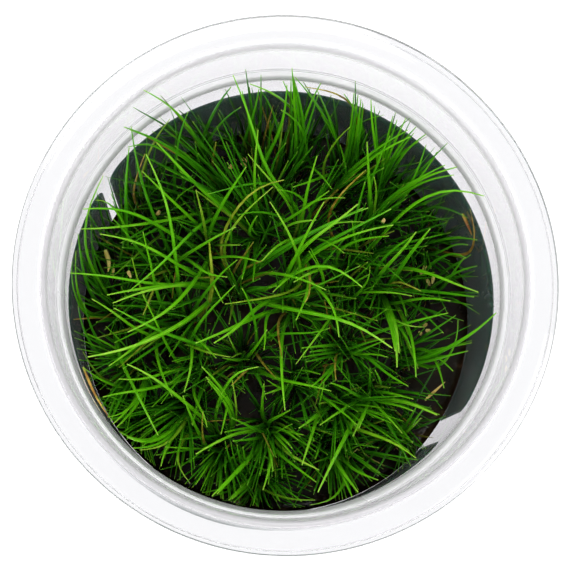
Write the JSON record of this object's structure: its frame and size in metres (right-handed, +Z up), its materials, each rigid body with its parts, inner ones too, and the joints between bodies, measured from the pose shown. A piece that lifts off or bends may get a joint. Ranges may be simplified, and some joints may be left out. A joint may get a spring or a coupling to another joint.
{
  "type": "dwarf hairgrass in vitro cup",
  "caption": "Clear round cup with a flat rim and plain dark green wall labels, holding dense dwarf hairgrass that grows in dark nutrient gel.",
  "frame": {"origin": "middle of the foot ring, on the surface that the cup stands on", "axes": "+Z up through the middle of the mouth, +X to the right and +Y away from the viewer in the picture's view"},
  "size_m": [0.09, 0.09, 0.06],
  "materials": {
    "clear_cup": "clear moulded polystyrene, polished, see-through",
    "label_film": "dark green printed film, glossy outside, blank",
    "gel": "dark agar-like gel, wet and smooth",
    "grass": "living green blades, satin, slightly see-through"
  },
  "bodies": {
    "root": {"cup": "clear_cup", "label_back": "label_film", "label_front": "label_film", "nutrient_gel": "gel", "tuft_01": "grass", "tuft_02": "grass", "tuft_03": "grass", "tuft_04": "grass", "tuft_05": "grass", "tuft_06": "grass", "tuft_07": "grass", "tuft_08": "grass", "tuft_09": "grass", "tuft_10": "grass", "tuft_11": "grass", "tuft_12": "grass", "tuft_13": "grass", "tuft_14": "grass", "tuft_15": "grass", "tuft_16": "grass", "tuft_17": "grass", "tuft_18": "grass", "tuft_19": "grass", "tuft_20": "grass", "tuft_21": "grass", "tuft_22": "grass", "tuft_23": "grass", "tuft_24": "grass", "tuft_25": "grass", "tuft_26": "grass", "tuft_27": "grass", "tuft_28": "grass", "tuft_29": "grass", "tuft_30": "grass", "tuft_31": "grass", "tuft_32": "grass", "tuft_33": "grass", "tuft_34": "grass", "tuft_35": "grass", "tuft_36": "grass", "tuft_37": "grass", "tuft_38": "grass", "tuft_39": "grass", "tuft_40": "grass"}
  },
  "joints": []
}
